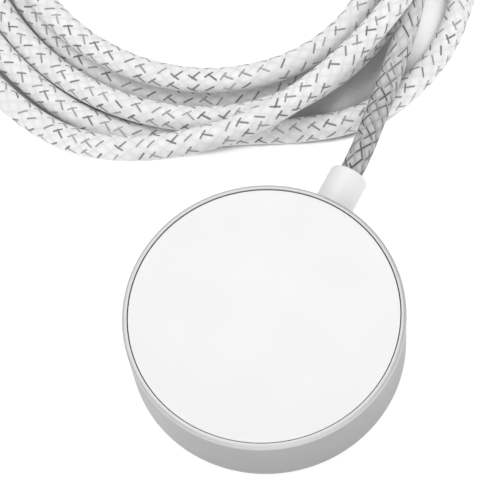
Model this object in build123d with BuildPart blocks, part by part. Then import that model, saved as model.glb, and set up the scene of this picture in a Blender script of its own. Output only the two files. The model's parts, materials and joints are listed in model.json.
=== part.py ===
"""Magnetic watch-charging puck with a braided cable and a USB-C plug.

Millimetres. The origin is the centre of the puck's flat bottom, +Z is up through
the charging face, and the cable leaves the puck's wall along +Y.
"""
import math
import os

from build123d import *

os.makedirs("parts", exist_ok=True)

# ---------------------------------------------------------------- puck case
CASE_DIAMETER = 28.0
CASE_HEIGHT = 8.8
CASE_WALL = 1.1
CASE_FLOOR = 0.8
RIM_WALL = 0.5           # thin rim round the charging face
RIM_DEPTH = 1.5          # from the top of the rim down to the face's ledge
RIM_ROUND = 0.3
FOOT_ROUND = 1.2

# ------------------------------------------------------------ charging face
FACE_GAP = 0.12          # the fine dark line inside the rim
FACE_DROP = 0.1          # the face's edge lies this far below the rim
FACE_LAND = 0.3          # narrow flat band before the dish begins
DISH_DEPTH = 0.8
FACE_THICKNESS = 0.8     # at the centre of the dish
SKIRT_CLEARANCE = 0.1
SKIRT_WALL = 0.8
SKIRT_DEPTH = 1.0
ADHESIVE = 0.1

# ------------------------------------------------------- magnet and winding
MAGNET_RADIUS = 5.0
MAGNET_CLEARANCE = 0.1
YOKE_WALL = 0.4
YOKE_FLOOR = 0.5
RING_CLEARANCE = 0.2     # yoke to ferrite, former and carrier
FERRITE_EDGE = 1.9        # ferrite's edge to the case's bore
FERRITE_THICKNESS = 0.7
FORMER_FLOOR = 0.1
FORMER_HUB = 0.3
FORMER_HUB_HEIGHT = 0.6
COIL_WIRE = 0.55
COIL_TURNS = 7
COIL_PITCH = 0.6
COIL_CLEARANCE = 0.02
LEAD_WIRE = 0.5
LEAD_HOLE_CLEARANCE = 0.15

# -------------------------------------------------------- board and carrier
FILM = 0.1
SPACER_HEIGHT = 1.4
SPACER_WALL = 1.3
SEAT_CLEARANCE = 0.2     # inner rings to the case's bore
BOARD_THICKNESS = 0.8
BOARD_CLEARANCE = 0.8     # board's edge to the case's bore
CARRIER_PLATE = 0.8
CARRIER_GAP = 1.3        # room over the board for its components
NOTCH_WIDTH = 4.4        # opening in the carrier for the cable
PAD_HEIGHT = 0.15

# --------------------------------------------------- cable, collar, retainer
CABLE_DIAMETER = 2.7
CABLE_HEIGHT = 4.4       # the cable's axis where it leaves the puck
CORE_DIAMETER = 1.6      # under the braid
COLLAR_DIAMETER = 4.1
COLLAR_LENGTH = 5.0      # out from the case wall
COLLAR_ROUND = 0.3
SPIGOT_DIAMETER = 2.8
SOCKET_DEPTH = 2.8       # how far the braid runs into the collar
RUNNING = 0.03           # radial clearance of a cable or spigot in its hole
RETAINER_DIAMETER = 3.9
RETAINER_THICKNESS = 0.45
FERRULE_WALL = 0.3
FERRULE_LENGTH = 1.0
WIRE_DIAMETER = 0.5

# -------------------------------------------------------------- loose cable
COIL_CENTRE = (-31.04, 45.04)
COIL_HEADING = 35.1      # degrees the coil's short axis is turned from +X
COIL_OUTER = (30.6, 36.4)
COIL_INNER = (17.2, 22.8)
COIL_HEIGHT = 7.0
COIL_ROUND = 2.5
LEAD_ROUTE = [(0, 16.2, 4.4), (0, 20.7, 4.4), (-0.45, 25.2, 4.3)]
TAIL_ROUTE = [
    (-25.0, 77.9, 4.1),
    (-29.0, 81.6, 3.6),
    (-34.2, 83.4, 2.9),
    (-40.2, 83.4, 3.1),
    (-46.4, 83.4, 3.1),
]

# ---------------------------------------------------------------- USB-C plug
HOUSING_WIDTH = 11.6
HOUSING_THICKNESS = 6.2
HOUSING_LENGTH = 16.0
HOUSING_WALL = 0.9
HOUSING_CORNER = 2.8
BEZEL_THICKNESS = 1.5
SHELL_WIDTH = 8.25
SHELL_THICKNESS = 2.40
SHELL_WALL = 0.3
SHELL_EXPOSED = 6.65
SHELL_HIDDEN = 6.0
INSERT_CLEARANCE = 0.05
MOUTH_WIDTH = 6.7
MOUTH_HEIGHT = 0.86
MOUTH_DEPTH = 5.6
TIP_SETBACK = 0.3        # the insert ends this far inside the shell's mouth
CONTACT_PITCH = 0.5
CONTACT_WIDTH = 0.3
CONTACT_THICKNESS = 0.15
CONTACT_PLACES = [-5.5, -2.5, -1.5, -0.5, 0.5, 1.5, 2.5, 5.5]
LATCH_THICKNESS = 0.2
LATCH_WIDTH = 0.7
LATCH_LENGTH = 9.5
LATCH_HOOK = 0.25
LATCH_OFFSET = 3.40      # middle of the spring strip from the plug's axis
PLUG_BOARD_WIDTH = 7.2
PLUG_BOARD_LENGTH = 7.0
PLUG_BOARD_THICKNESS = 0.8
CAN_WALL = 0.2

# ------------------------------------------------------- sizes worked out
CASE_RADIUS = CASE_DIAMETER / 2
BORE_RADIUS = CASE_RADIUS - CASE_WALL
RIM_RADIUS = CASE_RADIUS - RIM_WALL
LEDGE_Z = CASE_HEIGHT - RIM_DEPTH
FACE_RADIUS = RIM_RADIUS - FACE_GAP
FACE_EDGE_Z = CASE_HEIGHT - FACE_DROP
FLANGE_Z = LEDGE_Z + ADHESIVE
DISH_RADIUS = FACE_RADIUS - FACE_LAND
DISH_Z = FACE_EDGE_Z - DISH_DEPTH
FACE_UNDER_Z = DISH_Z - FACE_THICKNESS
SKIRT_RADIUS = BORE_RADIUS - SKIRT_CLEARANCE
SKIRT_Z = FLANGE_Z - SKIRT_DEPTH
SEAT_RADIUS = BORE_RADIUS - SEAT_CLEARANCE
SPACER_Z = CASE_FLOOR + FILM
BOARD_Z = SPACER_Z + SPACER_HEIGHT
BOARD_TOP = BOARD_Z + BOARD_THICKNESS
BOARD_RADIUS = BORE_RADIUS - BOARD_CLEARANCE
PLATE_Z = BOARD_TOP + CARRIER_GAP
FERRITE_Z = PLATE_Z + CARRIER_PLATE
FORMER_Z = FERRITE_Z + FERRITE_THICKNESS
COIL_Z = FORMER_Z + FORMER_FLOOR + COIL_CLEARANCE + COIL_WIRE / 2
YOKE_RADIUS = MAGNET_RADIUS + MAGNET_CLEARANCE + YOKE_WALL
RING_RADIUS = YOKE_RADIUS + RING_CLEARANCE
FERRITE_OUTER_RADIUS = BORE_RADIUS - FERRITE_EDGE
COIL_RADIUS = RING_RADIUS + FORMER_HUB + COIL_CLEARANCE + COIL_WIRE / 2 + 0.06
COIL_END_RADIUS = COIL_RADIUS + COIL_TURNS * COIL_PITCH
MAGNET_TOP = FACE_UNDER_Z - RING_CLEARANCE
RETAINER_Y = BORE_RADIUS - RETAINER_THICKNESS - 0.2
COLLAR_END_Y = CASE_RADIUS + COLLAR_LENGTH
SOCKET_Y = COLLAR_END_Y - SOCKET_DEPTH
FERRULE_Y = RETAINER_Y - 0.15 - FERRULE_LENGTH
CORE_END_Y = FERRULE_Y - 0.9
CABLE_RADIUS = CABLE_DIAMETER / 2
PLUG_END = TAIL_ROUTE[-1]
PLUG_LENGTH = COLLAR_LENGTH + HOUSING_LENGTH + SHELL_EXPOSED
HOUSING_START = COLLAR_LENGTH
HOUSING_END = HOUSING_START + HOUSING_LENGTH
SHELL_START = HOUSING_END - SHELL_HIDDEN
SHELL_END = HOUSING_END + SHELL_EXPOSED
INSERT_START = SHELL_START + 0.6
INSERT_END = SHELL_END - TIP_SETBACK
MOUTH_START = INSERT_END - MOUTH_DEPTH
LATCH_START = INSERT_END - LATCH_LENGTH - 0.6
PLUG_BOARD_START = INSERT_START - 0.1 - PLUG_BOARD_LENGTH
CAVITY_WIDTH = HOUSING_WIDTH - 2 * HOUSING_WALL
CAVITY_THICKNESS = HOUSING_THICKNESS - 2 * HOUSING_WALL

# The plug lies flat and points along -X: sketch x is across it, sketch y is up.
PLUG_PLANE = Plane(
    origin=(PLUG_END[0] + SOCKET_DEPTH, PLUG_END[1], PLUG_END[2]),
    x_dir=(0, -1, 0),
    z_dir=(-1, 0, 0),
)


def level(z):
    """Horizontal sketch plane at height z."""
    return Plane.XY.offset(z)


def wall_plane(y):
    """Upright sketch plane across the cable's axis, facing out of the case."""
    return Plane(origin=(0, y, CABLE_HEIGHT), x_dir=(1, 0, 0), z_dir=(0, 1, 0))


def save(builder, label):
    """Label a finished piece and write its STEP file."""
    builder.part.label = label
    export_step(builder.part, f"parts/{label}.step")


def ring(plane, outer, inner, height):
    """Flat ring standing on a plane."""
    with BuildPart() as made:
        with BuildSketch(plane):
            Circle(outer)
            Circle(inner, mode=Mode.SUBTRACT)
        extrude(amount=height)
    return made


def cable_run(route, diameter):
    """Round tube along a route of straight runs joined by tangent arcs."""
    points = [Vector(*point) for point in route]
    runs = [b - a for a, b in zip(points, points[1:])]
    radii = []
    for before, after in zip(runs, runs[1:]):
        half_turn = math.radians(before.get_angle(after)) / 2
        radii.append(0.45 * min(before.length, after.length) / math.tan(half_turn))
    with BuildPart() as made:
        with BuildLine() as path:
            if radii:
                FilletPolyline(*points, radius=radii)
            else:
                Line(points[0], points[1])
        with BuildSketch(Plane(origin=points[0], z_dir=runs[0])):
            Circle(diameter / 2)
        sweep(path=path.wires()[0])
    length = path.wires()[0].length
    share = made.part.volume / (math.pi * diameter ** 2 / 4 * length)
    print(f"route radii {[round(r, 1) for r in radii]}, length {length:.1f}, volume/section*length {share:.4f}")
    return made


# ==================================================================== PUCK
with BuildPart() as case_shell:
    with BuildSketch(Plane.XY):
        Circle(CASE_RADIUS)
    extrude(amount=CASE_HEIGHT)
    fillet(case_shell.edges().group_by(Axis.Z)[0], FOOT_ROUND)
    with BuildSketch(level(CASE_FLOOR)):
        Circle(BORE_RADIUS)
    extrude(amount=CASE_HEIGHT, mode=Mode.SUBTRACT)
    with BuildSketch(level(LEDGE_Z)):
        Circle(RIM_RADIUS)
    extrude(amount=CASE_HEIGHT, mode=Mode.SUBTRACT)
    fillet(case_shell.edges().group_by(Axis.Z)[-1].sort_by(SortBy.LENGTH)[-1], RIM_ROUND)
    with BuildSketch(wall_plane(BORE_RADIUS - 1)):
        Circle(SPIGOT_DIAMETER / 2 + RUNNING)
    extrude(amount=CASE_WALL + 2, mode=Mode.SUBTRACT)
save(case_shell, "case_shell")

# The face is a dished disc with a flange on the case's ledge and a skirt in its bore.
with BuildPart() as charging_face:
    with BuildSketch(Plane.XZ):
        with BuildLine():
            sphere_radius = (DISH_RADIUS ** 2 + DISH_DEPTH ** 2) / (2 * DISH_DEPTH)
            middle = DISH_RADIUS / 2
            middle_z = DISH_Z + sphere_radius - math.sqrt(sphere_radius ** 2 - middle ** 2)
            Polyline(
                (0, DISH_Z),
                (0, FACE_UNDER_Z),
                (SKIRT_RADIUS - SKIRT_WALL, FACE_UNDER_Z),
                (SKIRT_RADIUS - SKIRT_WALL, SKIRT_Z),
                (SKIRT_RADIUS, SKIRT_Z),
                (SKIRT_RADIUS, FLANGE_Z),
                (FACE_RADIUS, FLANGE_Z),
                (FACE_RADIUS, FACE_EDGE_Z),
                (DISH_RADIUS, FACE_EDGE_Z),
            )
            ThreePointArc((DISH_RADIUS, FACE_EDGE_Z), (middle, middle_z), (0, DISH_Z))
        make_face()
    revolve(axis=Axis.Z)
save(charging_face, "charging_face")

face_adhesive = ring(level(LEDGE_Z), FACE_RADIUS, BORE_RADIUS, ADHESIVE)
save(face_adhesive, "face_adhesive")

with BuildPart() as insulating_film:
    with BuildSketch(level(CASE_FLOOR)):
        Circle(SEAT_RADIUS)
    extrude(amount=FILM)
save(insulating_film, "insulating_film")

board_spacer = ring(level(SPACER_Z), SEAT_RADIUS, SEAT_RADIUS - SPACER_WALL, SPACER_HEIGHT)
save(board_spacer, "board_spacer")

with BuildPart() as circuit_board:
    with BuildSketch(level(BOARD_Z)):
        Circle(BOARD_RADIUS)
    extrude(amount=BOARD_THICKNESS)
save(circuit_board, "circuit_board")

# Steel cup, magnet and the ring stack around them.
with BuildPart() as magnet_yoke:
    with BuildSketch(level(BOARD_TOP)):
        Circle(YOKE_RADIUS)
    extrude(amount=MAGNET_TOP - BOARD_TOP)
    with BuildSketch(level(BOARD_TOP + YOKE_FLOOR)):
        Circle(YOKE_RADIUS - YOKE_WALL)
    extrude(amount=MAGNET_TOP, mode=Mode.SUBTRACT)
save(magnet_yoke, "magnet_yoke")

with BuildPart() as centre_magnet:
    with BuildSketch(level(BOARD_TOP + YOKE_FLOOR)):
        Circle(MAGNET_RADIUS)
    extrude(amount=MAGNET_TOP - BOARD_TOP - YOKE_FLOOR)
    chamfer(centre_magnet.edges(), 0.2)
save(centre_magnet, "centre_magnet")

# The winding's two ends come down to the board through one hole each.
lead_places = [(COIL_RADIUS, -0.3), (COIL_END_RADIUS, 0.3)]
lead_hole_radius = LEAD_WIRE / 2 + LEAD_HOLE_CLEARANCE

with BuildPart() as coil_carrier:
    with BuildSketch(level(BOARD_TOP)):
        Circle(SEAT_RADIUS)
        Circle(SEAT_RADIUS - SPACER_WALL, mode=Mode.SUBTRACT)
    extrude(amount=SKIRT_Z - BOARD_TOP)
    with BuildSketch(level(PLATE_Z)):
        Circle(SEAT_RADIUS - SPACER_WALL / 2)
        Circle(RING_RADIUS, mode=Mode.SUBTRACT)
    extrude(amount=CARRIER_PLATE)
    with BuildSketch(level(PLATE_Z)):
        with Locations(*lead_places):
            Circle(lead_hole_radius)
    extrude(amount=CARRIER_PLATE, mode=Mode.SUBTRACT)
    with BuildSketch(level(BOARD_TOP)):
        with Locations((0, CORE_END_Y - 3 + CASE_RADIUS / 2)):
            Rectangle(NOTCH_WIDTH, CASE_RADIUS)
    extrude(amount=CASE_HEIGHT, mode=Mode.SUBTRACT)
save(coil_carrier, "coil_carrier")

with BuildPart() as ferrite_shield:
    with BuildSketch(level(FERRITE_Z)):
        Circle(FERRITE_OUTER_RADIUS)
        Circle(RING_RADIUS, mode=Mode.SUBTRACT)
        with Locations(*lead_places):
            Circle(lead_hole_radius, mode=Mode.SUBTRACT)
    extrude(amount=FERRITE_THICKNESS)
save(ferrite_shield, "ferrite_shield")

with BuildPart() as coil_former:
    with BuildSketch(level(FORMER_Z)):
        Circle(FERRITE_OUTER_RADIUS)
        Circle(RING_RADIUS, mode=Mode.SUBTRACT)
        with Locations(*lead_places):
            Circle(lead_hole_radius, mode=Mode.SUBTRACT)
    extrude(amount=FORMER_FLOOR)
    with BuildSketch(level(FORMER_Z + FORMER_FLOOR)):
        Circle(RING_RADIUS + FORMER_HUB)
        Circle(RING_RADIUS, mode=Mode.SUBTRACT)
    extrude(amount=FORMER_HUB_HEIGHT)
save(coil_former, "coil_former")

# Flat spiral of half-circle arcs, each half a pitch larger than the one before.
with BuildPart() as coil_winding:
    with BuildLine(level(COIL_Z)) as spiral:
        for half in range(2 * COIL_TURNS):
            half_radius = COIL_RADIUS + half * COIL_PITCH / 2
            centre_x = 0 if half % 2 == 0 else COIL_PITCH / 2
            CenterArc((centre_x, 0), half_radius, 180 * (half % 2), 180)
    with BuildSketch(Plane(origin=(COIL_RADIUS, 0, COIL_Z), x_dir=(1, 0, 0), z_dir=(0, 1, 0))):
        Circle(COIL_WIRE / 2)
    sweep(path=spiral.wires()[0])
save(coil_winding, "coil_winding")

with BuildPart() as coil_leads:
    with BuildSketch(level(BOARD_TOP)):
        with Locations(*lead_places):
            Circle(LEAD_WIRE / 2)
    extrude(amount=COIL_Z - BOARD_TOP)
save(coil_leads, "coil_leads")

# Components on the board: a ring of them above it, the warm ones below it.
with BuildPart() as control_chip:
    with BuildSketch(level(BOARD_TOP)):
        with Locations((-8.2, 0)):
            Rectangle(3.6, 3.6)
    extrude(amount=0.8)
save(control_chip, "control_chip")

with BuildPart() as board_crystal:
    with BuildSketch(level(BOARD_TOP)):
        with Locations((-6.6, 4.8)):
            Rectangle(2.0, 1.6)
    extrude(amount=0.6)
save(board_crystal, "board_crystal")

with BuildPart() as board_capacitors:
    with BuildSketch(level(BOARD_TOP)):
        with PolarLocations(8.4, 7, start_angle=215, angular_range=120, endpoint=True):
            Rectangle(1.6, 0.8)
    extrude(amount=0.8)
save(board_capacitors, "board_capacitors")

power_chip_height = 0.75
with BuildPart() as power_chips:
    with BuildSketch(level(BOARD_Z - power_chip_height)):
        with Locations((-5, 0), (5, 0)):
            Rectangle(3.0, 3.0)
    extrude(amount=power_chip_height)
save(power_chips, "power_chips")

with BuildPart() as thermal_pads:
    with BuildSketch(level(SPACER_Z)):
        with Locations((-5, 0), (5, 0)):
            Rectangle(3.4, 3.4)
    extrude(amount=SPACER_HEIGHT - power_chip_height)
save(thermal_pads, "thermal_pads")

inductor_height = 1.2
with BuildPart() as board_inductor:
    with BuildSketch(level(BOARD_Z - inductor_height)):
        with Locations((0, -6)):
            RectangleRounded(3.0, 3.0, 0.4)
    extrude(amount=inductor_height)
save(board_inductor, "board_inductor")

# ============================================================ PUCK'S COLLAR
with BuildPart() as cable_collar:
    with BuildSketch(wall_plane(CASE_RADIUS - CASE_WALL)):
        Circle(COLLAR_DIAMETER / 2)
    extrude(amount=CASE_WALL + COLLAR_LENGTH)
    fillet(cable_collar.edges().group_by(Axis.Y)[-1], COLLAR_ROUND)
    with BuildSketch(Plane.XY):
        Circle(CASE_RADIUS)
    extrude(amount=CASE_HEIGHT, mode=Mode.SUBTRACT)
    with BuildSketch(wall_plane(RETAINER_Y)):
        Circle(SPIGOT_DIAMETER / 2)
    extrude(amount=CASE_RADIUS - RETAINER_Y + 0.5)
    with BuildSketch(wall_plane(SOCKET_Y)):
        Circle(CABLE_RADIUS + RUNNING)
    extrude(amount=SOCKET_DEPTH, mode=Mode.SUBTRACT)
    with BuildSketch(wall_plane(RETAINER_Y)):
        Circle(CORE_DIAMETER / 2 + RUNNING)
    extrude(amount=COLLAR_LENGTH, mode=Mode.SUBTRACT)
save(cable_collar, "cable_collar")

collar_retainer = ring(
    wall_plane(RETAINER_Y), RETAINER_DIAMETER / 2, SPIGOT_DIAMETER / 2 + RUNNING, RETAINER_THICKNESS
)
save(collar_retainer, "collar_retainer")

with BuildPart() as cable_core:
    with BuildSketch(wall_plane(CORE_END_Y)):
        Circle(CORE_DIAMETER / 2)
    extrude(amount=SOCKET_Y - CORE_END_Y)
save(cable_core, "cable_core")

crimp_ferrule = ring(
    wall_plane(FERRULE_Y), CORE_DIAMETER / 2 + RUNNING + FERRULE_WALL, CORE_DIAMETER / 2 + RUNNING,
    FERRULE_LENGTH
)
save(crimp_ferrule, "crimp_ferrule")


def core_wire(side, rise, pad_x, pad_y):
    """One insulated wire from the core's end down to its solder pad."""
    pad_top = BOARD_TOP + PAD_HEIGHT
    start = (side, CORE_END_Y, CABLE_HEIGHT + rise)
    knee = (pad_x, pad_y, CABLE_HEIGHT + rise)
    with BuildPart() as made:
        with BuildLine() as path:
            FilletPolyline(start, (side, CORE_END_Y - 0.7, CABLE_HEIGHT + rise), knee,
                           (pad_x, pad_y, pad_top), radius=[0.3, 0.4])
        with BuildSketch(Plane(origin=start, z_dir=(0, -1, 0))):
            Circle(WIRE_DIAMETER / 2)
        sweep(path=path.wires()[0])
    return made.part


# The outer pair carries power, the inner pair carries data.
wire_offset = 0.33
pad_y = CORE_END_Y - 2.2
power_pads = [(-1.5, pad_y), (1.5, pad_y)]
data_pads = [(-0.5, pad_y + 0.1), (0.5, pad_y + 0.1)]
with BuildPart() as power_wires:
    for side, place in zip((-1, 1), power_pads):
        add(core_wire(side * wire_offset, wire_offset, *place))
save(power_wires, "power_wires")

with BuildPart() as data_wires:
    for side, place in zip((-1, 1), data_pads):
        add(core_wire(side * wire_offset, -wire_offset, *place))
save(data_wires, "data_wires")

with BuildPart() as solder_pads:
    with BuildSketch(level(BOARD_TOP)):
        with Locations(*power_pads, *data_pads):
            Circle(0.4)
    extrude(amount=PAD_HEIGHT)
save(solder_pads, "solder_pads")

# ============================================================= LOOSE CABLE
cable_lead = cable_run(LEAD_ROUTE, CABLE_DIAMETER)
save(cable_lead, "cable_lead")

with BuildPart() as cable_coil:
    with BuildSketch(Plane.XY):
        with Locations(Location((*COIL_CENTRE, 0), (0, 0, COIL_HEADING))):
            Ellipse(*COIL_OUTER)
            Ellipse(*COIL_INNER, mode=Mode.SUBTRACT)
    extrude(amount=COIL_HEIGHT)
    fillet(cable_coil.edges(), COIL_ROUND)
save(cable_coil, "cable_coil")

cable_tail = cable_run(TAIL_ROUTE, CABLE_DIAMETER)
save(cable_tail, "cable_tail")


# ==================================================================== PLUG
def plug_level(distance):
    """Sketch plane across the plug, measured from its collar's mouth."""
    return PLUG_PLANE.offset(distance)


with BuildPart() as plug_collar:
    with BuildSketch(plug_level(0)):
        Circle(COLLAR_DIAMETER / 2)
    extrude(amount=COLLAR_LENGTH)
    with BuildSketch(plug_level(COLLAR_LENGTH)):
        Circle(SPIGOT_DIAMETER / 2)
    extrude(amount=HOUSING_WALL)
    with BuildSketch(plug_level(0)):
        Circle(CABLE_RADIUS + RUNNING)
    extrude(amount=SOCKET_DEPTH, mode=Mode.SUBTRACT)
    with BuildSketch(plug_level(0)):
        Circle(CORE_DIAMETER / 2 + RUNNING)
    extrude(amount=PLUG_LENGTH, mode=Mode.SUBTRACT)
save(plug_collar, "plug_collar")

with BuildPart() as plug_housing:
    with BuildSketch(plug_level(HOUSING_START)):
        RectangleRounded(HOUSING_WIDTH, HOUSING_THICKNESS, HOUSING_CORNER)
    extrude(amount=HOUSING_LENGTH)
    fillet(plug_housing.edges().group_by(Axis.X)[-1], 0.8)
    fillet(plug_housing.edges().group_by(Axis.X)[0], 0.4)
    with BuildSketch(plug_level(HOUSING_START + HOUSING_WALL)):
        RectangleRounded(CAVITY_WIDTH, CAVITY_THICKNESS, HOUSING_CORNER - HOUSING_WALL)
    extrude(amount=HOUSING_LENGTH, mode=Mode.SUBTRACT)
    with BuildSketch(plug_level(HOUSING_START - 1)):
        Circle(SPIGOT_DIAMETER / 2 + RUNNING)
    extrude(amount=HOUSING_WALL + 2, mode=Mode.SUBTRACT)
save(plug_housing, "plug_housing")

with BuildPart() as plug_bezel:
    with BuildSketch(plug_level(HOUSING_END - BEZEL_THICKNESS)):
        RectangleRounded(CAVITY_WIDTH - 0.1, CAVITY_THICKNESS - 0.1, HOUSING_CORNER - HOUSING_WALL)
        RectangleRounded(
            SHELL_WIDTH + 2 * INSERT_CLEARANCE, SHELL_THICKNESS + 2 * INSERT_CLEARANCE,
            SHELL_THICKNESS / 2 + INSERT_CLEARANCE - 0.01, mode=Mode.SUBTRACT
        )
    extrude(amount=BEZEL_THICKNESS)
save(plug_bezel, "plug_bezel")

inner_width = SHELL_WIDTH - 2 * SHELL_WALL
inner_thickness = SHELL_THICKNESS - 2 * SHELL_WALL
with BuildPart() as plug_shell:
    with BuildSketch(plug_level(SHELL_START)):
        RectangleRounded(SHELL_WIDTH, SHELL_THICKNESS, SHELL_THICKNESS / 2 - 0.01)
        RectangleRounded(inner_width, inner_thickness, inner_thickness / 2 - 0.01, mode=Mode.SUBTRACT)
    extrude(amount=SHELL_END - SHELL_START)
save(plug_shell, "plug_shell")

# Plastic insert: a mouth for the socket's tongue, a trough above and below it for the
# contacts, and a slot down each side for the latches.
insert_width = inner_width - 2 * INSERT_CLEARANCE
insert_thickness = inner_thickness - 2 * INSERT_CLEARANCE
trough_width = 2 * (5.5 * CONTACT_PITCH + CONTACT_WIDTH)
trough_height = MOUTH_HEIGHT + 2 * (CONTACT_THICKNESS + 0.03)
slot_inner = LATCH_OFFSET - LATCH_THICKNESS / 2 - LATCH_HOOK - 0.05
with BuildPart() as plug_insert:
    with BuildSketch(plug_level(INSERT_START)):
        RectangleRounded(insert_width, insert_thickness, insert_thickness / 2 - 0.01)
    extrude(amount=INSERT_END - INSERT_START)
    with BuildSketch(plug_level(MOUTH_START)):
        Rectangle(MOUTH_WIDTH, MOUTH_HEIGHT)
    extrude(amount=MOUTH_DEPTH, mode=Mode.SUBTRACT)
    with BuildSketch(plug_level(INSERT_START)):
        Rectangle(trough_width, trough_height)
        Rectangle(trough_width, MOUTH_HEIGHT, mode=Mode.SUBTRACT)
    extrude(amount=INSERT_END - INSERT_START - 0.4, mode=Mode.SUBTRACT)
    with BuildSketch(plug_level(LATCH_START)):
        with Locations((slot_inner + 1, 0), (-slot_inner - 1, 0)):
            Rectangle(2, LATCH_WIDTH + 0.2)
    extrude(amount=LATCH_LENGTH + 2, mode=Mode.SUBTRACT)
save(plug_insert, "plug_insert")

for label, side in (("plug_contacts_upper", 1), ("plug_contacts_lower", -1)):
    with BuildPart() as contacts:
        with BuildSketch(plug_level(INSERT_START - 0.9)):
            strip_y = side * (MOUTH_HEIGHT / 2 + 0.015 + CONTACT_THICKNESS / 2)
            with Locations(*[(place * CONTACT_PITCH, strip_y) for place in CONTACT_PLACES]):
                Rectangle(CONTACT_WIDTH, CONTACT_THICKNESS)
        extrude(amount=INSERT_END - INSERT_START + 0.4)
    save(contacts, label)

# Each latch is a spring strip with a hook at its tip that points at the plug's axis.
for label, side in (("plug_latch_left", 1), ("plug_latch_right", -1)):
    with BuildPart() as latch:
        with BuildSketch(plug_level(LATCH_START + 0.2)):
            with Locations((side * LATCH_OFFSET, 0)):
                Rectangle(LATCH_THICKNESS, LATCH_WIDTH)
        extrude(amount=LATCH_LENGTH)
        with BuildSketch(plug_level(LATCH_START + LATCH_LENGTH - 1.0)):
            with Locations((side * (LATCH_OFFSET - LATCH_THICKNESS / 2 - LATCH_HOOK / 2), 0)):
                Rectangle(LATCH_HOOK, LATCH_WIDTH)
        extrude(amount=0.7)
    save(latch, label)

with BuildPart() as plug_board:
    with BuildSketch(plug_level(PLUG_BOARD_START)):
        Rectangle(PLUG_BOARD_WIDTH, PLUG_BOARD_THICKNESS)
    extrude(amount=PLUG_BOARD_LENGTH)
save(plug_board, "plug_board")

plug_chip_size = 2.4
plug_chip_height = 0.7
with BuildPart() as plug_chip:
    with BuildSketch(plug_level(PLUG_BOARD_START + 3.0)):
        with Locations((0, PLUG_BOARD_THICKNESS / 2 + plug_chip_height / 2)):
            Rectangle(plug_chip_size, plug_chip_height)
    extrude(amount=plug_chip_size)
save(plug_chip, "plug_chip")

# Screening can round the board, open at the front for the shell.
can_start = HOUSING_START + HOUSING_WALL + 0.2
can_end = HOUSING_END - BEZEL_THICKNESS - 0.1
can_width = CAVITY_WIDTH - 0.3
can_thickness = CAVITY_THICKNESS - 0.2
can_corner = HOUSING_CORNER - HOUSING_WALL
with BuildPart() as plug_can:
    with BuildSketch(plug_level(can_start)):
        RectangleRounded(can_width, can_thickness, can_corner)
    extrude(amount=can_end - can_start)
    with BuildSketch(plug_level(can_start + CAN_WALL)):
        RectangleRounded(can_width - 2 * CAN_WALL, can_thickness - 2 * CAN_WALL, can_corner - CAN_WALL)
    extrude(amount=HOUSING_LENGTH, mode=Mode.SUBTRACT)
    with BuildSketch(plug_level(can_start)):
        Circle(CORE_DIAMETER / 2 + FERRULE_WALL + 0.2)
    extrude(amount=CAN_WALL, mode=Mode.SUBTRACT)
save(plug_can, "plug_can")

plug_core_end = PLUG_BOARD_START - 0.5
with BuildPart() as plug_core:
    with BuildSketch(plug_level(SOCKET_DEPTH)):
        Circle(CORE_DIAMETER / 2)
    extrude(amount=plug_core_end - SOCKET_DEPTH)
save(plug_core, "plug_core")

plug_ferrule = ring(
    plug_level(plug_core_end - 0.2 - FERRULE_LENGTH), CORE_DIAMETER / 2 + RUNNING + FERRULE_WALL,
    CORE_DIAMETER / 2 + RUNNING, FERRULE_LENGTH
)
save(plug_ferrule, "plug_ferrule")

# Two wires run along the top of the plug's board and two along its underside.
with BuildPart() as plug_wires:
    with BuildSketch(plug_level(plug_core_end)):
        wire_y = PLUG_BOARD_THICKNESS / 2 + WIRE_DIAMETER / 2 + 0.02
        with GridLocations(0.7, 2 * wire_y, 2, 2):
            Circle(WIRE_DIAMETER / 2)
    extrude(amount=2.2)
save(plug_wires, "plug_wires")
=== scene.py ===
# %% [markdown]
# # A magnetic charging puck on a coiled, braided lead
#
# The object is a small round charger: a satin aluminium case as wide as a large coin, a white
# dished face that a watch rests on, a short moulded collar, and a metre of white braided lead
# that ends in a USB-C plug. The case, face, collar and plug come ready made from the CAD frame.
# What is left for Blender is the soft part, the lead, and the finish of every surface.
#
# First the frame is loaded.

# %% Load the frame
import json
import math

import bpy
import bmesh
import numpy as np
from mathutils import Matrix, Vector


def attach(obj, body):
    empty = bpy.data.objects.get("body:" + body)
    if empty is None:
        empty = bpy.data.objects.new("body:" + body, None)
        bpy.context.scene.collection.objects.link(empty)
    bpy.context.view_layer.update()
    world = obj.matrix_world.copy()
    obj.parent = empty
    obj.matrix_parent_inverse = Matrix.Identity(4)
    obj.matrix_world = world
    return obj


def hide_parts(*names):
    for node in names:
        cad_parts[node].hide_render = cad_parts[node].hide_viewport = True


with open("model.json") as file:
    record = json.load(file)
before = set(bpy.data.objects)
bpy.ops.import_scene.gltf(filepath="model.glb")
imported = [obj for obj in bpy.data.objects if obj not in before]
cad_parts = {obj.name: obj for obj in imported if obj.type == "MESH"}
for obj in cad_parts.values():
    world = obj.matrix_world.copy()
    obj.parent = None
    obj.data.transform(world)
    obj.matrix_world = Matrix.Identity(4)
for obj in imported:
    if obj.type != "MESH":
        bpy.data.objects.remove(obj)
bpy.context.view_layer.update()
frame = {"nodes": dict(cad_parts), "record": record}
nodes = frame["nodes"]
MM = 0.001

# %% [markdown]
# ## The camera
#
# The camera looks steeply down from a little to one side, so that the puck is almost a circle
# and the lead's loops run out of the picture. It has a long lens, which keeps the perspective
# mild. It could be aimed with a Track To constraint, but then it couldn't lean. Its turn is
# made of three simple ones instead: down from the zenith, around the object, and a slight roll
# of the camera itself.

# %% Place the camera
VIEW_AZIMUTH = math.radians(35.1)
VIEW_TILT = math.radians(90 - 65.46)
VIEW_ROLL = math.radians(-8.68)
CAMERA_PLACE = (0.04417, -0.06351, 0.19334)
around = Matrix.Rotation(VIEW_AZIMUTH, 4, "Z")

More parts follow.
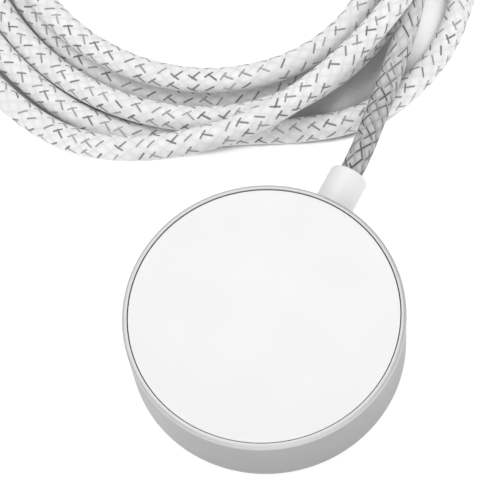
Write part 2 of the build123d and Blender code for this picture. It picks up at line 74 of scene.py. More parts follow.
camera_data = bpy.data.cameras.new("view")
camera_data.lens = 146.9
camera_data.sensor_width = 36
camera_data.clip_start = 0.01
camera = bpy.data.objects.new("view", camera_data)
bpy.context.scene.collection.objects.link(camera)
tilt = Matrix.Rotation(VIEW_TILT, 4, "X")
roll = Matrix.Rotation(VIEW_ROLL, 4, "Z")
camera.matrix_world = Matrix.Translation(CAMERA_PLACE) @ around @ tilt @ roll
bpy.context.scene.camera = camera
bpy.context.scene.view_settings.view_transform = "Standard"
print("camera is", round(camera.location.length * 1000), "mm from the puck")

# %% [markdown]
# ## The lead's line
#
# The lead leaves the collar level, drops to the table and joins a loose hand-wound coil of five
# turns, then leaves the coil on its far side and ends in the plug. Nothing ties the turns, so
# they fan out: at the front one turn swings wide and another crosses over its neighbours.
#
# A physics simulation could drop the lead in a heap, but the heap would never fall the same way
# twice. So the coil is worked out as a spiral whose distance from its centre changes from turn
# to turn and from angle to angle. A row of the table is one turn, and a column is one angle, so
# a turn is moved by changing one number. Hermite curves join the numbers, because they go
# exactly through them without kinks.

# %% The route's own points in millimetres, as they are in the CAD, and the table of turns
CORD_DIAMETER = 2.7 * MM
lead_route = [(0, 16.2, 4.4), (0, 20.7, 4.4), (-0.45, 25.2, 4.3)]
tail_route = [
    (-25.0, 77.9, 4.1),
    (-29.0, 81.6, 3.6),
    (-34.2, 83.4, 2.9),
    (-40.2, 83.4, 3.1),
    (-46.4, 83.4, 3.1),
]
COIL_CENTRE = around @ Vector((0.5, 48.5, 0))
COIL_STRETCH = 11.0  # the coil is longer away from the puck than it is wide
angles = [90, 180, 210, 240, 270, 300, 315, 330, 400]
# each turn: how high it lies in the heap, and its radius in mm at those angles. The last turn
# is the innermost and lies on top, propped up by the ends that cross under it
turns = [
    (6, [29.6, 29.3, 28.8, 28.8, 26.3, 23.5, 23.2, 23.4, 25.4]),
    (0, [26.6, 26.0, 25.6, 25.7, 24.4, 28.4, 29.1, 28.4, 21.6]),
    (2, [23.5, 22.95, 22.9, 23.5, 24.1, 22.9, 22.4, 21.9, 18.8]),
    (1, [20.6, 19.8, 19.9, 20.4, 20.8, 20.5, 20.0, 19.3, 16.0]),
    (5, [17.9, 18.7, 19.0, 19.2, 19.6, 20.0, 19.75, 19.0, 14.8]),
]
LEAD_LAYER, TAIL_LAYER = 4, 3
# the last quarter turn before the first row, where the lead joins the coil
join_angles, join_radii = [300, 315, 330, 400], [29.4, 25.9, 23.5, 25.2]
print("turns in the table:", len(turns))


# %% Work out the coil's points
def between(at, values, x):
    """Smooth values at x from a table, by Hermite curves."""
    at, values = np.array(at, float), np.array(values, float)
    slopes = np.gradient(values, at)
    i = np.clip(np.searchsorted(at, x) - 1, 0, len(at) - 2)
    step = at[i + 1] - at[i]
    t = (x - at[i]) / step
    a, b = 2 * t**3 - 3 * t**2 + 1, t**3 - 2 * t**2 + t
    return a * values[i] + (1 - a) * values[i + 1] + step * (
        b * slopes[i] + (t**3 - t**2) * slopes[i + 1]
    )


table_angles = [a - 360 for a in join_angles]
table_radii = list(join_radii)
for number, (layer, radii) in enumerate(turns):
    table_angles += [a + 360 * number for a in angles]
    table_radii += radii

COIL_STARTS, COIL_ENDS = -42, 360 * len(turns) + 13  # degrees
POINT_EVERY = 12  # degrees
swept = np.arange(COIL_STARTS, COIL_ENDS, POINT_EVERY)
radius = between(table_angles, table_radii, swept)
radius = radius + COIL_STRETCH * ((1 + np.sin(np.radians(swept))) / 2) ** 2
coil_route = []
for angle, r in zip(np.radians(swept), radius):
    point = around @ Vector((r * math.cos(angle), r * math.sin(angle), 0)) + COIL_CENTRE
    coil_route.append((point.x, point.y, 0))
turn_of = np.clip(np.floor((swept - angles[0]) / 360), -1, len(turns) - 1).astype(int)
coil_layers = [LEAD_LAYER if t < 0 else turns[t][0] for t in turn_of]

route = np.array(lead_route + coil_route + tail_route) * MM
layers = [LEAD_LAYER] * len(lead_route) + coil_layers + [TAIL_LAYER] * len(tail_route)
print("points on the lead's line:", len(route))

# %% [markdown]
# ## The lead's heights
#
# A real lead lies on the table and climbs over itself in long low humps, because it is springy.
# Each point's height could be typed in, but then every change to a turn would spoil the heights
# around it. So they are worked out, in two steps that are repeated until they agree. Where a
# turn crosses a lower one it is lifted just enough to rest on it. Then each hump is given long
# shoulders, so it bends no more sharply than the lead can.
#
# The line is one NURBS curve through the points above. Its order is set after its points are
# added: set earlier it stays at the lowest order, which draws straight runs.

# %% Draw the line as one smooth curve
THIN_AT_COLLAR, THICKENS_BY, THICKENS_FROM = 0.90, 0.02, 3


def line_curve(name, points):
    """A curve object of one open smooth spline through these control points."""
    data = bpy.data.curves.new(name, "CURVE")
    data.dimensions = "3D"
    spline = data.splines.new("NURBS")
    spline.points.add(len(points) - 1)
    for number, (control, place) in enumerate(zip(spline.points, points)):
        control.co = (*place, 1)
        past_collar = max(number - THICKENS_FROM, 0)
        control.radius = min(1.0, THIN_AT_COLLAR + THICKENS_BY * past_collar)
    spline.order_u = 3
    spline.use_endpoint_u = True
    data.twist_mode = "MINIMUM"
    return bpy.data.objects.new(name, data)


def drawn_line(curve, per_point):
    """The points that Blender draws the spline with."""
    curve.data.resolution_u = per_point
    mesh = bpy.data.meshes.new_from_object(curve)
    line = np.array([v.co[:] for v in mesh.vertices])
    bpy.data.meshes.remove(mesh)
    return line


def along(line):
    """How far along the line each of its points is."""
    return np.concatenate([[0], np.cumsum(np.linalg.norm(np.diff(line, axis=0), axis=1))])


FLAT_PER_POINT = 8
flat = drawn_line(line_curve("flat_line", route), FLAT_PER_POINT)
place = np.linspace(0, len(route) - 2, len(flat))  # the spline's own parameter
rank = np.array(layers)[np.clip(np.round(place + 0.5).astype(int), 0, len(route) - 1)]
travelled = along(flat)
print("flat line:", len(flat), "points,", round(travelled[-1] * 1000), "mm")

# %% Set how high each stretch would lie with nothing under it
RADIUS = CORD_DIAMETER / 2
COLLAR_HEIGHT, COLLAR_DROP, DROPPED_AT, NEAR_COLLAR = 4.4 * MM, 4.2 * MM, 9 * MM, 10 * MM
PLUG_HEIGHT, PLUG_POINTS = 3.1 * MM, 16
TOP_LAYER, TOP_PROPPED = 5, 4.2 * MM
table_height = np.full(len(flat), RADIUS)
near_collar = travelled < NEAR_COLLAR
table_height[near_collar] = np.interp(
    travelled[near_collar], [0, DROPPED_AT], [COLLAR_HEIGHT, COLLAR_DROP]
)
table_height[-PLUG_POINTS:] = PLUG_HEIGHT
table_height[rank == TOP_LAYER] = TOP_PROPPED
print("lowest and highest start:", round(table_height.min() / MM, 2), table_height.max() / MM)

# %% Settle the turns on the table and on each other
HUMP_CURVE = 10.0  # how sharply a hump may bend, per metre
HUMP_REACH = 30 * MM
SHOULDER = 3 * MM
OWN_STRETCH = 3 * CORD_DIAMETER  # nearer than this along the line, it can't cross itself
ROUNDS = 10
apart = np.linalg.norm(flat[:, None, :2] - flat[None, :, :2], axis=2)
gap_along = np.abs(travelled[:, None] - travelled[None, :])
own_stretch = gap_along <= OWN_STRETCH
smoothing = np.exp(-((gap_along / SHOULDER) ** 2) / 2)
smoothing /= smoothing.sum(axis=1, keepdims=True)

height = table_height.copy()
for repeat in range(ROUNDS):
    rested = table_height.copy()
    for layer in range(1, max(layers) + 1):
        upper, lower = np.where(rank == layer)[0], np.where(rank < layer)[0]
        across = apart[np.ix_(upper, lower)]
        over = (across < CORD_DIAMETER) & ~own_stretch[np.ix_(upper, lower)]
        rise = np.sqrt(np.maximum(CORD_DIAMETER**2 - across**2, 0))
        lifted = np.where(over, height[lower][None, :] + rise, 0).max(axis=1)
        rested[upper] = np.maximum(rested[upper], lifted)
    shoulders = rested[None, :] - HUMP_CURVE * gap_along**2
    shoulders = np.where(gap_along < HUMP_REACH, shoulders, -1).max(axis=1)
    height = np.maximum(smoothing @ shoulders, rested)

control_at = np.clip(np.arange(len(route)) - 0.5, 0, len(route) - 2)
settled = route.copy()
settled[:, 2] = np.interp(control_at, place, height)
settled[:2, 2] = COLLAR_HEIGHT
settled[-3:, 2] = PLUG_HEIGHT
print("highest turn:", round(float(settled[:, 2].max()) * 1000, 1), "mm")

# %% [markdown]
# ## The lead's body
#
# A circle could be extruded along the line by hand, but the curve's own bevel sweeps it, and
# keeps the tube round and free of twist in every bend. The tube is then made a mesh and given a
# UV map of its own: across the map is the distance along the lead in millimetres, and up it is
# the way around, from 0 to 1. The braid's pattern is drawn on that map, so it follows the lead
# round every loop at one size.

# %% Sweep the tube
SIDES = 24
PER_POINT = 14
cord_line = line_curve("cord_line", settled)
centre_line = drawn_line(cord_line, PER_POINT)
cord_line.data.bevel_depth = RADIUS
cord_line.data.bevel_resolution = (SIDES - 4) // 2
cord_line.data.use_fill_caps = True
cord_mesh = bpy.data.meshes.new_from_object(cord_line)
cord_mesh.name = "braided_lead"
cord = bpy.data.objects.new("braided_lead", cord_mesh)
bpy.context.scene.collection.objects.link(cord)
rings = len(centre_line)
print("lead:", rings, "rings,", len(cord_mesh.polygons), "faces")

# %% Lay its map, and round off its shading
while cord_mesh.uv_layers:
    cord_mesh.uv_layers.remove(cord_mesh.uv_layers[0])
wrap = cord_mesh.uv_layers.new(name="wrap")
distance = along(centre_line) / MM
for polygon in cord_mesh.polygons:
    polygon.use_smooth = True
    side = [cord_mesh.loops[i].vertex_index % SIDES for i in polygon.loop_indices]
    seam = max(side) - min(side) > 1
    for i, s in zip(polygon.loop_indices, side):
        ring = min(cord_mesh.loops[i].vertex_index // SIDES, rings - 1)
        wrap.data[i].uv = (distance[ring], (SIDES if seam and s == 0 else s) / SIDES)
print("map corners:", len(wrap.data))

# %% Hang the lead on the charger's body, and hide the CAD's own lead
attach(cord, "charger")
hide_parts("cable_lead", "cable_coil", "cable_tail")
print("lead drawn", round(distance[-1]), "mm long")

# %% [markdown]
# ## Helpers for finishes
#
# Every finish is a small network of shader nodes. It could be wired up socket by socket, but
# then the wiring would hide the idea. A few helpers keep the networks readable: they add a node
# and fill its sockets, do one step of arithmetic, blend two values, or start a material or a
# group of nodes.


# %% Node helpers
def fill(tree, node, sockets):
    """Give each named socket a number, a colour, or another node's output."""
    for name, value in sockets.items():
        if isinstance(value, bpy.types.NodeSocket):
            tree.links.new(value, node.inputs[name])
        else:
            node.inputs[name].default_value = value


def add(tree, kind, sockets=None, **settings):
    """Add a node with these settings, and fill its sockets."""
    node = tree.nodes.new(kind)
    for name, value in settings.items():
        setattr(node, name, value)
    fill(tree, node, sockets or {})
    return node


def maths(tree, operation, *values):
    """The output of a Math node."""
    return add(tree, "ShaderNodeMath", dict(enumerate(values)), operation=operation).outputs[0]


def vector_maths(tree, operation, *values, result="Vector"):
    """An output of a Vector Math node."""
    node = add(tree, "ShaderNodeVectorMath", dict(enumerate(values)), operation=operation)
    return node.outputs[result]


def limited(tree, value, low, high):
    """A value kept between two others."""
    return maths(tree, "MINIMUM", maths(tree, "MAXIMUM", value, low), high)


def ramp(tree, value, start, end, low=0.0, high=1.0):
    """A value that goes from low to high while another goes from start to end."""
    limits = {"From Min": start, "From Max": end, "To Min": low, "To Max": high}
    return add(tree, "ShaderNodeMapRange", {"Value": value, **limits}).outputs["Result"]


def blend_colours(tree, factor, first, second):
    """A mix of two colours; each is a colour or another node's output."""
    sockets = {0: factor, 6: first, 7: second}
    return add(tree, "ShaderNodeMix", sockets, data_type="RGBA").outputs[2]


def blend_values(tree, factor, first, second):
    """A mix of two plain values."""
    sockets = {0: factor, 2: first, 3: second}
    return add(tree, "ShaderNodeMix", sockets, data_type="FLOAT").outputs[0]


def grey(level, warm=0.0):
    """A near-neutral colour."""
    return (level * (1 + warm), level, level * (1 - warm), 1)


# %% Starts of a group and of a material
def new_group(name, inputs, outputs):
    """A shader node group with these named sockets; inputs have (kind, starting value)."""
    group = bpy.data.node_groups.new(name, "ShaderNodeTree")
    for socket, (kind, value) in inputs.items():
        made = group.interface.new_socket(socket, in_out="INPUT", socket_type="NodeSocket" + kind)
        if value is not None:
            made.default_value = value
    for socket, kind in outputs.items():
        group.interface.new_socket(socket, in_out="OUTPUT", socket_type="NodeSocket" + kind)
    return group, group.nodes.new("NodeGroupInput"), group.nodes.new("NodeGroupOutput")


def new_material(name):
    """A material, its node tree and its shader node."""
    material = bpy.data.materials.new(name)
    material.use_nodes = True
    return material, material.node_tree, material.node_tree.nodes["Principled BSDF"]


# %% [markdown]
# ## Grain
#
# Blasted metal, moulded plastic and chips of ceramic all share one effect: a fine speckle that
# tints the colour a little and dents the surface, over a broad, faint cloudiness. Two noise
# textures make it, a fine one and a broad one. They could be built again in every material, but
# they are made once, as a group, and each finish places it with its own grain size and strength.

# %% The grain group
CLOUDS_PER_METRE = 160.0
CLOUD_SHARE, SPECKLE_SHARE = 0.45, 0.55
grain_group, grain_in, grain_out = new_group(
    "fine_grain",
    {
        "Light": ("Color", grey(0.8)),
        "Dark": ("Color", grey(0.6)),
        "Grains per Metre": ("Float", 4000.0),
    },
    {"Color": "Color", "Height": "Float", "Cloud": "Float"},
)
tree = grain_group
where = tree.nodes.new("ShaderNodeTexCoord").outputs["Object"]
grains = grain_in.outputs["Grains per Metre"]
fine = {"Vector": where, "Scale": grains, "Detail": 3.0, "Roughness": 0.6}
broad = {"Vector": where, "Scale": CLOUDS_PER_METRE, "Detail": 2.0}
speckle = add(tree, "ShaderNodeTexNoise", fine).outputs["Fac"]
cloud = add(tree, "ShaderNodeTexNoise", broad).outputs["Fac"]
mixed = maths(tree, "MULTIPLY_ADD", cloud, CLOUD_SHARE, 0.0)
mixed = maths(tree, "MULTIPLY_ADD", speckle, SPECKLE_SHARE, mixed)
shade = ramp(tree, mixed, 0.35, 0.65)
tint = blend_colours(tree, shade, grain_in.outputs["Dark"], grain_in.outputs["Light"])
fill(tree, grain_out, {"Color": tint, "Height": speckle, "Cloud": cloud})
print("grain group:", len(tree.nodes), "nodes")

# %% A finish made of grain
GLOSS_VARIES = 0.15


def grained(name, light, dark, rough, metal, grains, dent, strength):
    """A material whose colour, gloss and surface all vary with the grain."""
    material, tree, shader = new_material(name)
    sockets = {"Light": light, "Dark": dark, "Grains per Metre": grains}
    grain = add(tree, "ShaderNodeGroup", sockets, node_tree=grain_group).outputs
    smoothest, roughest = rough * (1 - GLOSS_VARIES), min(rough * (1 + GLOSS_VARIES), 1.0)
    dents = {"Height": grain["Height"], "Strength": strength, "Distance": dent}
    surface = {
        "Base Color": grain["Color"],
        "Roughness": ramp(tree, grain["Cloud"], 0.3, 0.7, smoothest, roughest),
        "Normal": add(tree, "ShaderNodeBump", dents).outputs["Normal"],
        "Metallic": metal,
    }
    fill(tree, shader, surface)
    return material


# %% [markdown]
# ## The case, the face and everything else that is hard
#
# The case is bead-blasted aluminium, so its grain is very fine and its shine is broad. The face
# is a smooth white polycarbonate with a faint orange-peel. The inner parts are seen only when
# the charger is taken apart, yet each gets the finish that such a part has. Each could have a
# network of its own, but they differ only in their numbers, so one table holds them all.
#
# The case's rim and the bore that holds the face are painted paler than the blasted wall: on the rim
# the paler colour is a painted highlight for the light band along the top edge, and in the bore it is
# painted light that lifts the shade in the narrow gap around the face. They could be separate
# materials, but the case is one solid. So a mask is worked out from the height up the wall and the
# distance from the case's axis.

# %% Mix the finishes, one for each slot
finish_rows = {
    # name, light and dark colour, roughness, metallic, grains per metre, depth of a dent in
    # metres, and strength of the dents
    "satin_aluminium": ("blasted_aluminium", grey(0.35), grey(0.315), 0.40, 1, 9000, 3e-6, 0.35),
    "white_face": ("face_polycarbonate", grey(0.828), grey(0.825), 0.45, 0, 3000, 2e-6, 0.15),
    "white_plastic": ("moulded_white", grey(0.86), grey(0.83), 0.42, 0, 6000, 4e-6, 0.3),
    "steel": ("plug_steel", grey(0.40), grey(0.35), 0.36, 1, 5000, 2e-6, 0.2),
    "magnet_nickel": ("nickel_plate", grey(0.66, 0.02), grey(0.58, 0.03), 0.2, 1, 5000, 2e-6, 0.2),
    "ferrite": ("ferrite_grey", grey(0.06), grey(0.035), 0.55, 0, 5000, 1e-5, 0.5),
    "copper": ("coil_copper", (0.75, 0.33, 0.17, 1), (0.6, 0.24, 0.11, 1), 0.28, 1, 7000, 5e-6, 0.4),
    "gold_contact": ("contact_gold", (0.9, 0.65, 0.25, 1), (0.8, 0.53, 0.18, 1), 0.2, 1, 6000, 1e-5, 0.3),
    "board": ("board_green", (0.02, 0.13, 0.06, 1), (0.01, 0.09, 0.04, 1), 0.45, 0, 5000, 6e-6, 0.3),
    "chip_black": ("chip_epoxy", grey(0.03), grey(0.018), 0.55, 0, 8000, 8e-6, 0.4),
    "black_plastic": ("black_nylon", grey(0.03), grey(0.02), 0.5, 0, 5000, 6e-6, 0.3),
    "grey_rubber": ("grey_silicone", grey(0.32), grey(0.26), 0.7, 0, 4000, 8e-6, 0.4),
    "amber_film": ("amber_film", (0.55, 0.26, 0.04, 1), (0.45, 0.19, 0.02, 1), 0.25, 0, 3000, 1e-5, 0.3),
    "ceramic": ("part_ceramic", grey(0.5, 0.12), grey(0.4, 0.14), 0.5, 0, 6000, 1e-5, 0.3),
    "wire_red": ("wire_red", (0.5, 0.02, 0.015, 1), (0.4, 0.012, 0.01, 1), 0.45, 0, 5000, 1e-5, 0.3),
    "wire_green": ("wire_green", (0.02, 0.3, 0.06, 1), (0.01, 0.22, 0.04, 1), 0.45, 0, 5000, 1e-5, 0.3),
    "adhesive": ("clear_adhesive", grey(0.80, 0.01), grey(0.74, 0.01), 0.45, 0, 2500, 1e-5, 0.3),
}
finishes = {slot: grained(*row) for slot, row in finish_rows.items()}
print("finishes:", len(finishes))

# %% Brighten the case's rim and bore with painted light
RIM_STARTS, RIM_IS_BRIGHT = 8.1 * MM, 8.5 * MM
BORE_ENDS, BORE_IS_BRIGHT = 13.7 * MM, 13.5 * MM
# the rim's painted highlight and the bore's painted light share this paler colour
RIM_AND_BORE_PAINTED_LIGHT, RIM_AND_BORE_ROUGHNESS = grey(0.64), 0.62
tree = finishes["satin_aluminium"].node_tree
shader = tree.nodes["Principled BSDF"]
blasted = shader.inputs["Base Color"].links[0].from_socket
gloss = shader.inputs["Roughness"].links[0].from_socket
where = tree.nodes.new("ShaderNodeTexCoord").outputs["Object"]
up_the_wall = add(tree, "ShaderNodeSeparateXYZ", {"Vector": where}).outputs["Z"]
flattened = vector_maths(tree, "MULTIPLY", where, (1, 1, 0))
from_axis = vector_maths(tree, "LENGTH", flattened, result="Value")
rim = ramp(tree, up_the_wall, RIM_STARTS, RIM_IS_BRIGHT)
bore = ramp(tree, from_axis, BORE_ENDS, BORE_IS_BRIGHT)
# where the case is painted paler: the rim's painted highlight and the bore's painted light
turned = maths(tree, "MAXIMUM", rim, bore)
surface = {
    "Base Color": blend_colours(tree, turned, blasted, RIM_AND_BORE_PAINTED_LIGHT),
    "Roughness": blend_values(tree, turned, gloss, RIM_AND_BORE_ROUGHNESS),
}
fill(tree, shader, surface)
print("case finish:", len(tree.nodes), "nodes")

# %% Give every CAD part the finish of its slot
slot_of = {part["node"]: part["material_slot"] for part in frame["record"]["subparts"]}
dressed = 0
for name, part in nodes.items():
    finish = finishes.get(slot_of[name])
    if finish is None:
        continue
    for material_slot in part.material_slots:
        material_slot.material = finish
        dressed += 1
print("CAD parts dressed:", dressed)

# %% [markdown]
# ## The braid
#
# The lead's jacket is braided from white yarn, with a thin grey thread laid in each direction.
# A grey thread shows only where it passes over its neighbours, as a short dash at about forty
# degrees to the lead, and where two dashes meet they make a small T. The T's repeat along the
# lead and around it, and no two are quite alike.
#
# Real yarns could be swept along the lead, but a metre of braid would need millions of faces.
# The pattern is drawn on the lead's own map instead. The map is cut into cells, six around the
# lead. In each cell the distance to two short straight lines is worked out, and what is nearer
# than a thread's width is grey. A random number for each cell turns, shifts and fades its T,
# stands about one T in four the other way up, and now and then leaves a dash out.

# %% Cut the map into cells
CELL_LONG = 1.85  # mm along the lead
ROWS_AROUND = 6
CELL_ROUND = CORD_DIAMETER / MM * math.pi / ROWS_AROUND
THREAD_ANGLE = math.degrees(math.atan2(CELL_ROUND, CELL_LONG))


def cell_counts(tree, map_output):
    """How many cells around the lead and along it a place on the map is."""
    split = add(tree, "ShaderNodeSeparateXYZ", {"Vector": map_output})
    around_cells = maths(tree, "MULTIPLY", split.outputs["Y"], float(ROWS_AROUND))
    return around_cells, maths(tree, "DIVIDE", split.outputs["X"], CELL_LONG)


def from_middle(tree, count, cell_size):
    """How many millimetres from its cell's middle a place is, one way."""
    part = maths(tree, "SUBTRACT", maths(tree, "FRACT", count), 0.5)
    return maths(tree, "MULTIPLY", part, cell_size)


print("a cell is", CELL_LONG, "by", round(CELL_ROUND, 2), "mm")

# %% The tracer group: turn, shift and flip each cell by luck
LARGEST_SHIFT = (0.52, 0.30, 0.0)  # mm, from one extreme to the other
LARGEST_TURN = 0.22  # radians, each way
FLIPPED_SHARE = 0.26
tracer_group, tracer_in, tracer_out = new_group(
    "tracer_threads",
    {"Map": ("Vector", None), "Thread Width": ("Float", 0.07), "Reach": ("Float", 1.0)},
    {"Mask": "Float", "Cell Shade": "Float"},
)
tree = tracer_group
around_cells, along_cells = cell_counts(tree, tracer_in.outputs["Map"])
row, column = maths(tree, "FLOOR", around_cells), maths(tree, "FLOOR", along_cells)
down = from_middle(tree, around_cells, CELL_ROUND)
ahead = from_middle(tree, along_cells, CELL_LONG)
here = add(tree, "ShaderNodeCombineXYZ", {"X": ahead, "Y": down}).outputs[0]
cell = add(tree, "ShaderNodeCombineXYZ", {"X": column, "Y": row}).outputs[0]
luck = add(tree, "ShaderNodeTexWhiteNoise", {"Vector": cell}, noise_dimensions="3D").outputs
luck_parts = add(tree, "ShaderNodeSeparateXYZ", {"Vector": luck["Color"]}).outputs
shift = vector_maths(tree, "SUBTRACT", luck["Color"], (0.5, 0.5, 0.5))
shift = vector_maths(tree, "MULTIPLY", shift, LARGEST_SHIFT)
here = vector_maths(tree, "ADD", here, shift)
is_flipped = maths(tree, "LESS_THAN", luck["Value"], FLIPPED_SHARE)
upright = maths(tree, "MULTIPLY_ADD", is_flipped, -2.0, 1.0)
flip = add(tree, "ShaderNodeCombineXYZ", {"X": 1.0, "Y": upright}).outputs[0]
here = vector_maths(tree, "MULTIPLY", here, flip)
turn = maths(tree, "MULTIPLY_ADD", luck["Value"], 2 * LARGEST_TURN, -LARGEST_TURN)
spin = {"Vector": here, "Angle": turn}
here = add(tree, "ShaderNodeVectorRotate", spin, rotation_type="Z_AXIS").outputs[0]
print("tracer group started:", len(tree.nodes), "nodes")

# %% One dash: the distance to a short line, made soft at its edge
SOFT_EDGE = 0.6  # of a thread's width


def dash(tree, place, middle, degrees, half_length, width):
    """1 on a dash through middle at that many degrees, 0 off it."""
    heading = (math.cos(math.radians(degrees)), math.sin(math.radians(degrees)), 0)
    offset = vector_maths(tree, "SUBTRACT", place, (*middle, 0))
    limit = maths(tree, "MULTIPLY", tracer_in.outputs["Reach"], half_length)
    reach = vector_maths(tree, "DOT_PRODUCT", offset, heading, result="Value")
    reach = limited(tree, reach, maths(tree, "MULTIPLY", limit, -1.0), limit)
    scaled = {0: heading, "Scale": reach}
    nearest = add(tree, "ShaderNodeVectorMath", scaled, operation="SCALE").outputs[0]
    to_nearest = vector_maths(tree, "SUBTRACT", offset, nearest)
    off = vector_maths(tree, "LENGTH", to_nearest, result="Value")
    inside = maths(tree, "SUBTRACT", width, off)
    edge = maths(tree, "DIVIDE", inside, maths(tree, "MULTIPLY", width, SOFT_EDGE))
    return limited(tree, edge, 0.0, 1.0)


# %% The T: its bar, its stem, and how strongly both show
BAR_MIDDLE, BAR_HALF, BAR_MISSING = (-0.26, -0.16), 0.48, 0.14
STEM_MIDDLE, STEM_HALF, STEM_MISSING = (0.12, 0.10), 0.52, 0.18
FAINTEST = 0.55
width = tracer_in.outputs["Thread Width"]
bar = dash(tree, here, BAR_MIDDLE, -THREAD_ANGLE, BAR_HALF, width)
stem = dash(tree, here, STEM_MIDDLE, THREAD_ANGLE, STEM_HALF, width)
bar_shows = maths(tree, "GREATER_THAN", luck_parts["X"], BAR_MISSING)
stem_shows = maths(tree, "GREATER_THAN", luck_parts["Y"], STEM_MISSING)
bar = maths(tree, "MULTIPLY", bar, bar_shows)
stem = maths(tree, "MULTIPLY", stem, stem_shows)
mask = maths(tree, "MAXIMUM", bar, stem)
fade = maths(tree, "MULTIPLY_ADD", luck_parts["Z"], 1 - FAINTEST, FAINTEST)
mask = maths(tree, "MULTIPLY", mask, fade)
fill(tree, tracer_out, {"Mask": mask, "Cell Shade": luck["Value"]})
print("tracer group:", len(tree.nodes), "nodes")

# %% The weave group: plump cushions between the threads, and the yarn's own fine ridges
YARNS_PER_CELL = 3
weave_group, weave_in, weave_out = new_group(
    "yarn_weave", {"Map": ("Vector", None)}, {"Cushion": "Float", "Ridges": "Float"}
)
tree = weave_group
around_cells, along_cells = cell_counts(tree, weave_in.outputs["Map"])
right_hand = maths(tree, "ADD", around_cells, along_cells)
left_hand = maths(tree, "SUBTRACT", around_cells, along_cells)


def wave(tree, count, times):
    """The sine of a count of half turns."""
    return maths(tree, "SINE", maths(tree, "MULTIPLY", count, times * math.pi))


right_wave, left_wave = wave(tree, right_hand, 1), wave(tree, left_hand, 1)
across_right = maths(tree, "ABSOLUTE", right_wave)
across_left = maths(tree, "ABSOLUTE", left_wave)
cushion = maths(tree, "POWER", maths(tree, "MULTIPLY", across_right, across_left), 0.5)
# which of the two yarns lies on top changes from cushion to cushion
which = maths(tree, "GREATER_THAN", maths(tree, "MULTIPLY", right_wave, left_wave), 0.0)
right_ridges = maths(tree, "ABSOLUTE", wave(tree, right_hand, YARNS_PER_CELL))
left_ridges = maths(tree, "ABSOLUTE", wave(tree, left_hand, YARNS_PER_CELL))
ridges = blend_values(tree, which, right_ridges, left_ridges)
fill(tree, weave_out, {"Cushion": cushion, "Ridges": ridges})
print("weave group:", len(tree.nodes), "nodes")

# %% The braid's finish near the collar: longer and darker threads, and a greyer weave
TIGHT_UNTIL, LOOSE_FROM = 13.0, 33.0  # mm along the lead
COLLAR_GREY_SHOWS = 0.8
THREAD_WIDTH = 0.135  # mm
braid, tree, shader = new_material("woven_braid")
wrap_map = add(tree, "ShaderNodeUVMap", uv_map="wrap").outputs["UV"]
from_collar = add(tree, "ShaderNodeSeparateXYZ", {"Vector": wrap_map}).outputs["X"]
tight = ramp(tree, from_collar, TIGHT_UNTIL, LOOSE_FROM, 1.0, 0.0)
reach = maths(tree, "MULTIPLY_ADD", tight, 1.0, 1.0)
sockets = {"Map": wrap_map, "Thread Width": THREAD_WIDTH, "Reach": reach}
tracer = add(tree, "ShaderNodeGroup", sockets, node_tree=tracer_group).outputs
weave = add(tree, "ShaderNodeGroup", {"Map": wrap_map}, node_tree=weave_group).outputs

yarn = blend_colours(tree, tracer["Cell Shade"], grey(0.84), grey(0.91))
# painted shade: the yarn is darker in the creases between the cushions, where shade falls
yarn = blend_colours(tree, weave["Cushion"], grey(0.76), yarn)
# painted shade: near the collar too, the creases are painted darker than the cushions
collar_grey_yarn = blend_colours(tree, weave["Cushion"], grey(0.21), grey(0.44))
yarn = blend_colours(tree, maths(tree, "MULTIPLY", tight, COLLAR_GREY_SHOWS), yarn, collar_grey_yarn)
thread = blend_colours(tree, tight, grey(0.15), grey(0.08))
yarn = blend_colours(tree, tracer["Mask"], yarn, thread)
print("braid colours:", len(tree.nodes), "nodes")

# %% The braid's relief: cushions with ridges on them, and threads that lie a little sunk
RIDGES_RAISE, THREADS_SINK = 0.25, -0.5
raised = maths(tree, "MULTIPLY_ADD", weave["Ridges"], RIDGES_RAISE, weave["Cushion"])
raised = maths(tree, "MULTIPLY_ADD", tracer["Mask"], THREADS_SINK, raised)
relief = {"Height": raised, "Strength": 0.6, "Distance": 0.06 * MM}
surface = {
    "Base Color": yarn,
    "Normal": add(tree, "ShaderNodeBump", relief).outputs["Normal"],
    "Roughness": 0.75,
    "Specular IOR Level": 0.25,
}
fill(tree, shader, surface)
cord_mesh.materials.clear()
cord_mesh.materials.append(braid)
print("braid finish:", len(tree.nodes), "nodes")
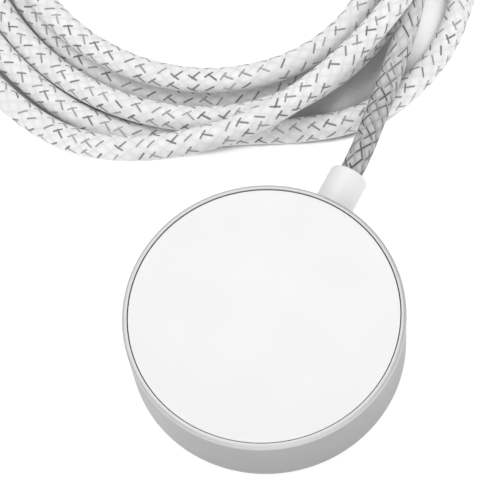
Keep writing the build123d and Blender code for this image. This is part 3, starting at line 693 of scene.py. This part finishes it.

# %% [markdown]
# ## Floor and light
#
# The floor is plain, but it glows with painted light wherever it is open to the sky, so that it
# stays white around the object, free of shadows, while the closed pockets between the turns get
# no glow and keep their shade. An Ambient Occlusion node tells the two apart. A stronger lamp
# could whiten the floor too, but it would burn out the white face and yarn as well. A broad key
# lamp hangs high behind the puck, so that a raised turn shades the one in front of it. A second
# soft lamp lights the wall from the front, and a white sky fills the shadows.

# %% Floor, a hair under the case's flat base
FLOOR_HEIGHT = -0.03 * MM
FLOOR_HALF_WIDTH = 3.0
POCKET_CLOSED, POCKET_OPEN = 0.29, 0.36  # how open to the sky
PAINTED_GLOW = 0.68
POCKET_REACH = 8 * MM
floor_shape = bmesh.new()
lowered = Matrix.Translation((0, 0, FLOOR_HEIGHT))
bmesh.ops.create_grid(
    floor_shape, x_segments=1, y_segments=1, size=FLOOR_HALF_WIDTH, matrix=lowered
)
floor_mesh = bpy.data.meshes.new("floor")
floor_shape.to_mesh(floor_mesh)
floor_shape.free()
floor = bpy.data.objects.new("floor", floor_mesh)
bpy.context.scene.collection.objects.link(floor)
floor_paint, tree, shader = new_material("studio_white")
reach = {"Distance": POCKET_REACH}
openness = add(tree, "ShaderNodeAmbientOcclusion", reach, samples=32).outputs["AO"]
# painted light: the glow whitens the floor's shadows where it is open to the sky, and fades out in the
# closed pockets
surface = {
    "Base Color": grey(0.55),
    "Emission Color": grey(1.0),
    "Emission Strength": ramp(tree, openness, POCKET_CLOSED, POCKET_OPEN, 0.0, PAINTED_GLOW),
    "Roughness": 0.9,
    "Specular IOR Level": 0.0,
}
fill(tree, shader, surface)
floor_mesh.materials.append(floor_paint)
print("floor:", len(floor_mesh.polygons), "face")


# %% Lamps and sky
AIM = Vector((0, 0.02, 0))  # between the puck and the coil


def lamp(name, place, size, power):
    """A square soft lamp; its place is given as seen from the camera's side."""
    data = bpy.data.lights.new(name, "AREA")
    data.shape = "SQUARE"
    data.size = size
    data.energy = power
    light = bpy.data.objects.new(name, data)
    bpy.context.scene.collection.objects.link(light)
    stand = around @ Vector(place)
    turned = (AIM - stand).to_track_quat("-Z", "Y").to_matrix().to_4x4()
    light.matrix_world = Matrix.Translation(stand) @ turned


lamp("key", (-0.06, 0.26, 0.88), size=0.6, power=3.2)
lamp("front", (0.05, -0.75, 0.55), size=0.7, power=2.4)
sky = bpy.data.worlds.new("sky")
sky.use_nodes = True
background = sky.node_tree.nodes["Background"]
fill(sky.node_tree, background, {"Color": grey(1.0), "Strength": 0.60})
bpy.context.scene.world = sky
print("lamps:", len(bpy.data.lights))
